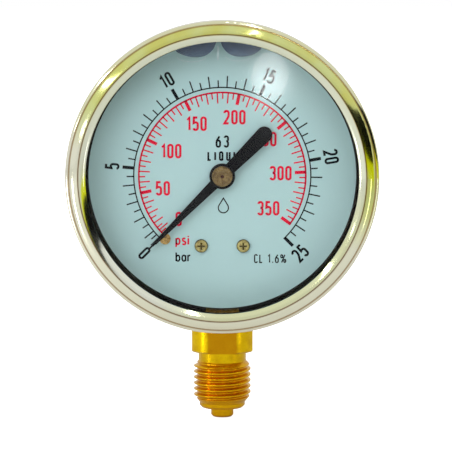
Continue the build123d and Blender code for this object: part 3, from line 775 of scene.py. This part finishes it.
def black_numerals(bm):
    """Numerals round the outer scale, tops outwards, but for the last one, which stays upright."""
    for pressure in range(0, FULL_BAR + 1, 5):
        angle = bar_angle(pressure)
        turn = -angle if pressure < FULL_BAR else 180 - angle
        write(
            bm, str(pressure), *clock(BLACK_NUMERAL_RADIUS, angle),
            NUMERAL_HEIGHT, NUMERAL_WEIGHT, NUMERAL_GAP, turn,
        )


def red_numerals(bm):
    """Upright numerals inside the inner scale, all with the same clearance from its lines."""
    for pressure in range(0, FULL_PSI + 1, 50):
        angle = psi_angle(pressure)
        across, up = clock(1, angle)
        half_width = 0.88 * len(str(pressure)) - 0.17
        reach = abs(across) * half_width + abs(up) * NUMERAL_HEIGHT / 2
        write(
            bm, str(pressure), *clock(RED_NUMERAL_RADIUS - 0.9 * reach, angle),
            NUMERAL_HEIGHT, NUMERAL_WEIGHT, NUMERAL_GAP,
        )


def unit_black(bm):
    write(bm, "bar", -8.85, -18.5, 2.35, 0.36, 0.18)


def unit_red(bm):
    write(bm, "psi", -9.05, -14.65, 2.4, 0.38, 0.24)


def dial_words(bm):
    """Generic words: the nominal size, the filling, the accuracy class and a drop."""
    write(bm, "63", 0.0, 7.75, 2.8, 0.44, 0.55)
    write(bm, "LIQUID", 0.6, 4.45, 2.2, 0.42, 0.6)
    write(bm, "CL 1.6%", 10.85, -18.9, 2.05, 0.28, 0.3)
    drop = bow(0.25, -7.3, 1.15, 1.15, -215, 35, 18) + [(0.25, -5.1)]
    stroke(bm, drop, 0.26, closed=True)


new_piece("scale_black", black_scale, BLACK_INK)
new_piece("scale_red", red_scale, RED_INK)
new_piece("numerals_black", black_numerals, BLACK_INK)
new_piece("numerals_red", red_numerals, RED_INK)
new_piece("unit_black", unit_black, BLACK_INK)
new_piece("unit_red", unit_red, RED_INK)
new_piece("dial_words", dial_words, BLACK_INK)


# ---------------------------------------------------------------- painted shade rings round the screws, and the air bubble

def ring_row(u, v, radius, count=40):
    turns = [2 * math.pi * step / count for step in range(count)]
    return [(u + radius * math.cos(turn), v + radius * math.sin(turn)) for turn in turns]


SCREW_ASIDE = 4.75
SCREW_DROP = 16.0
SHADE_RING_INNER = 1.2
SHADE_RING_OUTER = 1.52
SHADE_RING_RISE = 0.12 * MM


def screw_washers(bm):
    """Painted shade: a dark ring on the dial under the head of each of its two screws."""
    for side in (-1, 1):
        place = (side * SCREW_ASIDE, -SCREW_DROP)
        inner, outer = ring_row(*place, SHADE_RING_INNER), ring_row(*place, SHADE_RING_OUTER)
        add_strip(bm, inner, outer, True, (-PRINT_SINK, SHADE_RING_RISE))


BUBBLE_REACH = 30.6
WINDOW_HEIGHT = DIAL_FRONT - WINDOW_BACK
BUBBLE_DEPTH = (WINDOW_HEIGHT - 0.10 * MM, WINDOW_HEIGHT - 0.02 * MM)


def bubble_lobe(bm, left, right, bottom):
    """One lobe of the air bubble, flat against the window under the top of the case."""
    upper, lower = [], []
    for step in range(25):
        share = step / 24
        u = left + (right - left) * share
        top = math.sqrt(BUBBLE_REACH**2 - u**2)
        fall = (1 - abs(2 * share - 1) ** 2.4) ** 0.7
        upper.append((u, top))
        lower.append((u, top - 0.05 - (top - bottom) * fall))
    add_strip(bm, upper, lower, heights=BUBBLE_DEPTH)


def air_bubble(bm):
    bubble_lobe(bm, -10.6, -1.3, 27.1)
    bubble_lobe(bm, -0.4, 8.9, 27.2)


def meniscus(bm):
    """Painted highlights: the bright edges of the liquid under the bubble's two lobes and between
    them.
    """
    for left, right, drop in ((-10.2, -3.6, 26.0), (0.6, 6.8, 26.2)):
        centre, half = (left + right) / 2, (right - left) / 2
        path = bow(centre, drop + 1.3, half, 1.3, 190, 350, 16)
        stroke_at(bm, path, 0.13, BUBBLE_DEPTH)
    stroke_at(bm, [(-0.95, 29.6), (-0.95, 27.2), (-1.0, 26.4)], 0.30, BUBBLE_DEPTH)


def bubble_air():
    """A painted reflection: the dark slate-blue that the air bubble shows over the liquid, paler
    towards its lower edge.
    """
    g = Graph("bubble_air")
    vector, (x, y, z) = g.place(CENTRE)
    cloud = g.noise(vector, scale=700, detail=3)
    uneven = g.math("ADD", z, g.span(cloud, 0.3, 0.7, -0.4 * MM, 0.4 * MM))
    fall = g.span(uneven, 27.2 * MM, 29.6 * MM, 0.0, 1.0)
    tint = g.ramp(fall, (0.0, (0.115, 0.18, 0.27)), (0.6, (0.062, 0.10, 0.185)))
    return g.set(
        Base_Color=tint,
        Roughness=g.span(cloud, 0.3, 0.7, 0.3, 0.4),
        Alpha=g.span(fall, 0.0, 0.2, 0.72, 0.95),
    )


# Painted reflection in the air bubble.
BUBBLE_REFLECTION = bubble_air()
# Painted highlight on the liquid's edges.
MENISCUS_HIGHLIGHT = painted("meniscus", (0.72, 0.82, 0.86), (0.55, 0.66, 0.70), 0.3)
# Painted shade round the dial's two screws.
SCREW_SHADE_PAINT = painted("screw_shade_paint", (0.05, 0.035, 0.02), (0.02, 0.015, 0.012), 0.7)
new_piece("screw_washers", screw_washers, SCREW_SHADE_PAINT)
new_piece("air_bubble", air_bubble, BUBBLE_REFLECTION)
new_piece("meniscus", meniscus, MENISCUS_HIGHLIGHT)


# ---------------------------------------------------------------- the socket with its helical thread

THREAD_PITCH = 25.4 / 19
THREAD_CREST = 13.157 / 2
THREAD_DEPTH = 0.856
CREST_HALF_FLAT = 0.13
FLANK = 0.4185
THREAD_LOW = -5.1
THREAD_HIGH = 4.6
CORE_RADIUS = 5.4


def thread_radius(turn, height):
    """The radius of the right-hand thread's surface, in millimetres."""
    crest = THREAD_PITCH * (turn / (2 * math.pi))
    away = (height - crest) / THREAD_PITCH
    away = abs(away - round(away)) * THREAD_PITCH
    fall = min(max((away - CREST_HALF_FLAT) / FLANK, 0.0), 1.0)
    fall = 0.75 * fall + 0.25 * fall * fall * (3 - 2 * fall)
    ridge = THREAD_CREST - THREAD_DEPTH * fall
    lead_in = 5.25 + 0.815 * (height - THREAD_LOW)
    run_out = 5.5 + 0.95 * (THREAD_HIGH - height)
    return min(ridge, lead_in, run_out)


def helical_thread(bm, around=144, rows=150):
    """A closed sleeve with the ridge of the thread on its outside."""
    loops = []
    for index in range(around):
        turn = 2 * math.pi * index / around
        profile = [(CORE_RADIUS - 0.3, THREAD_HIGH), (CORE_RADIUS - 0.3, THREAD_LOW)]
        for row in range(rows + 1):
            height = THREAD_LOW + (THREAD_HIGH - THREAD_LOW) * row / rows
            profile.append((thread_radius(turn, height), height))
        across, deep = math.cos(turn) * MM, math.sin(turn) * MM
        loops.append(
            [bm.verts.new((radius * across, radius * deep, height * MM)) for radius, height in profile]
        )
    for index in range(around):
        one, other = loops[index], loops[(index + 1) % around]
        for row in range(len(one)):
            after = (row + 1) % len(one)
            bm.faces.new((one[row], other[row], other[after], one[after]))


def socket_body():
    """The CAD socket with a plain core where the helical thread goes over it."""
    source = NODES["socket"]
    mesh = source.data.copy()
    mesh.name = "socket_body"
    limit = (CORE_RADIUS + 0.2) * MM
    for vertex in mesh.vertices:
        radius = math.hypot(vertex.co.x, vertex.co.y)
        if radius > limit and THREAD_LOW * MM < vertex.co.z < THREAD_HIGH * MM:
            vertex.co.x *= CORE_RADIUS * MM / radius
            vertex.co.y *= CORE_RADIUS * MM / radius
    piece = bpy.data.objects.new("socket_body", mesh)
    bpy.context.scene.collection.objects.link(piece)
    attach(piece, "gauge")
    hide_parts("socket")


socket_body()
new_piece("socket_thread", helical_thread, BRASS, smooth=True)


# ---------------------------------------------------------------- floor, lights and camera

FLOOR_REACH = 1.6
FLOOR_GAP = 0.2 * MM
FLOOR_MIRRORED = (0.84, 0.84, 0.82, 1)
FLOOR_GLOW = 0.9


def area_light(name, place, target, width, height, power, shape="RECTANGLE"):
    """A flat lamp that faces a target; sizes are in metres and power in watts."""
    light = bpy.data.lights.new(name, "AREA")
    light.shape = shape
    light.size = width
    light.size_y = height
    light.energy = power
    lamp = bpy.data.objects.new(name, light)
    lamp.location = place
    lamp.rotation_euler = (Vector(target) - Vector(place)).to_track_quat("-Z", "Y").to_euler()
    bpy.context.scene.collection.objects.link(lamp)
    return lamp


def strip_light(name, clock_angle, tilt, distance, width, length, power):
    """A long lamp pointing at the dial, its length along a radius of the view."""
    turn, lean = math.radians(clock_angle), math.radians(tilt)
    outward = Vector((math.sin(turn), 0, math.cos(turn)))
    toward = outward * math.sin(lean) + Vector((0, -math.cos(lean), 0))
    along = outward * math.cos(lean) + Vector((0, math.sin(lean), 0))
    lamp = area_light(name, CENTRE + toward * distance, CENTRE, width, length, power)
    lamp.rotation_euler = Matrix((along.cross(toward), along, toward)).transposed().to_euler()


def stage_piece(name, bm, finish, seen=True):
    """Link a piece of the studio made from a bmesh."""
    mesh = bpy.data.meshes.new(name)
    bm.to_mesh(mesh)
    bm.free()
    mesh.materials.append(finish)
    piece = bpy.data.objects.new(name, mesh)
    bpy.context.scene.collection.objects.link(piece)
    piece.visible_camera = seen


def plain_floor():
    """A pale floor, bright to the camera and greyer in the metal's reflections."""
    height = SOCKET_BOTTOM - FLOOR_GAP
    bm = bmesh.new()
    turns = [2 * math.pi * step / 48 for step in range(48)]
    bm.faces.new(
        [
            bm.verts.new((FLOOR_REACH * math.cos(turn), FLOOR_REACH * math.sin(turn), height))
            for turn in turns
        ]
    )
    g = Graph("studio_paper")
    vector, _ = g.place()
    cloud = g.noise(vector, scale=3, detail=2)
    tint = g.ramp(cloud, (0.3, (0.93, 0.93, 0.94)), (0.7, (0.95, 0.95, 0.96)))
    seen = g.add("ShaderNodeLightPath").outputs["Is Camera Ray"]
    paper = g.set(
        Base_Color=g.mix(seen, FLOOR_MIRRORED, tint),
        Roughness=0.8,
        Emission_Color=(1, 1, 1, 1),
        Emission_Strength=g.math("MULTIPLY", seen, FLOOR_GLOW),
    )
    stage_piece("studio_floor", bm, paper)


WORLD_SHADE = {"From Min": 0.55, "From Max": 0.93, "To Min": 0.75, "To Max": 0.66}


def studio_world():
    """White to the camera, and an even light from all round, a little less from the front."""
    world = bpy.data.worlds.new("studio")
    world.use_nodes = True
    tree = world.node_tree
    background = tree.nodes["Background"]
    where = tree.nodes.new("ShaderNodeTexCoord").outputs["Generated"]
    toward = tree.nodes.new("ShaderNodeVectorMath")
    toward.operation = "DOT_PRODUCT"
    tree.links.new(where, toward.inputs[0])
    toward.inputs[1].default_value = (0, -1, 0)
    shade = tree.nodes.new("ShaderNodeMapRange")
    shade.interpolation_type = "SMOOTHSTEP"
    tree.links.new(toward.outputs["Value"], shade.inputs["Value"])
    for name, number in WORLD_SHADE.items():
        shade.inputs[name].default_value = number
    seen = tree.nodes.new("ShaderNodeLightPath").outputs["Is Camera Ray"]
    strength = tree.nodes.new("ShaderNodeMath")
    strength.operation = "MAXIMUM"
    tree.links.new(shade.outputs["Result"], strength.inputs[0])
    tree.links.new(seen, strength.inputs[1])
    background.inputs["Color"].default_value = (1.0, 1.0, 1.0, 1)
    tree.links.new(strength.outputs[0], background.inputs["Strength"])
    bpy.context.scene.world = world


CAMERA_DISTANCE = 0.750
CAMERA_ELEVATION = 6.3
AIM_DROP = 11.5 * MM
AIM_ASIDE = 0.84 * MM
LENS = 264.3


def camera():
    data = bpy.data.cameras.new("camera")
    data.lens = LENS
    data.sensor_width = 36
    data.clip_start = 0.01
    data.clip_end = 10
    data.dof.use_dof = False
    eye = bpy.data.objects.new("camera", data)
    rise = math.radians(CAMERA_ELEVATION)
    face = Vector((CENTRE.x, DIAL_FRONT, CENTRE.z))
    eye.location = face + CAMERA_DISTANCE * Vector((0, -math.cos(rise), math.sin(rise)))
    aim = face + Vector((AIM_ASIDE, 0, -AIM_DROP))
    eye.rotation_euler = (aim - eye.location).to_track_quat("-Z", "Y").to_euler()
    bpy.context.scene.collection.objects.link(eye)
    bpy.context.scene.camera = eye


CARD_REACH = 0.40
CARD_START = 12
CARD_STEP = 4
CARD_COUNT = 20


def studio_card(name, low_slope, high_slope, finish):
    """A curved card on the right, which only the polished steel's reflections show."""
    bm = bmesh.new()
    low_row, high_row = [], []
    for step in range(CARD_COUNT):
        turn = math.radians(CARD_START + CARD_STEP * step)
        x, y = CARD_REACH * math.sin(turn), -CARD_REACH * math.cos(turn)
        low_row.append(bm.verts.new((x, y, CENTRE.z + low_slope * x)))
        high_row.append(bm.verts.new((x, y, CENTRE.z + high_slope * x)))
    for first in range(CARD_COUNT - 1):
        second = first + 1
        bm.faces.new((low_row[first], low_row[second], high_row[second], high_row[first]))
    stage_piece(name, bm, finish, seen=False)


CARD_BLACK = painted("black_card", (0.004, 0.004, 0.004), (0.003, 0.003, 0.003), 0.9)
CARD_LIME = painted("lime_card", (0.95, 0.97, 0.01), (0.85, 0.88, 0.01), 0.9)
STEM = (0, 0, 0.004)
UPPER_DIAL = (0.012, 0.0, CENTRE.z + 0.02)

plain_floor()
studio_world()
camera()
studio_card("black_card", 0.0, 0.40, CARD_BLACK)
studio_card("lime_card", -0.14, 0.0, CARD_LIME)
strip_light("key_strip", 305, 60, 0.55, 0.030, 0.50, 0.42)
strip_light("top_strip", 14, 60, 0.55, 0.016, 0.50, 0.24)
strip_light("side_strip", 283, 50, 0.60, 0.020, 0.20, 0.06)
area_light("stem_strip_left", (-0.13, -0.055, 0.012), STEM, 0.016, 0.05, 0.013)
area_light("stem_strip_right", (0.13, -0.075, 0.012), STEM, 0.010, 0.05, 0.004)
area_light("window_glare", (0.0175, -0.50, 0.033), UPPER_DIAL, 0.014, 0.018, 0.016, "ELLIPSE")

scene_view = bpy.context.scene.view_settings
scene_view.view_transform = "Standard"
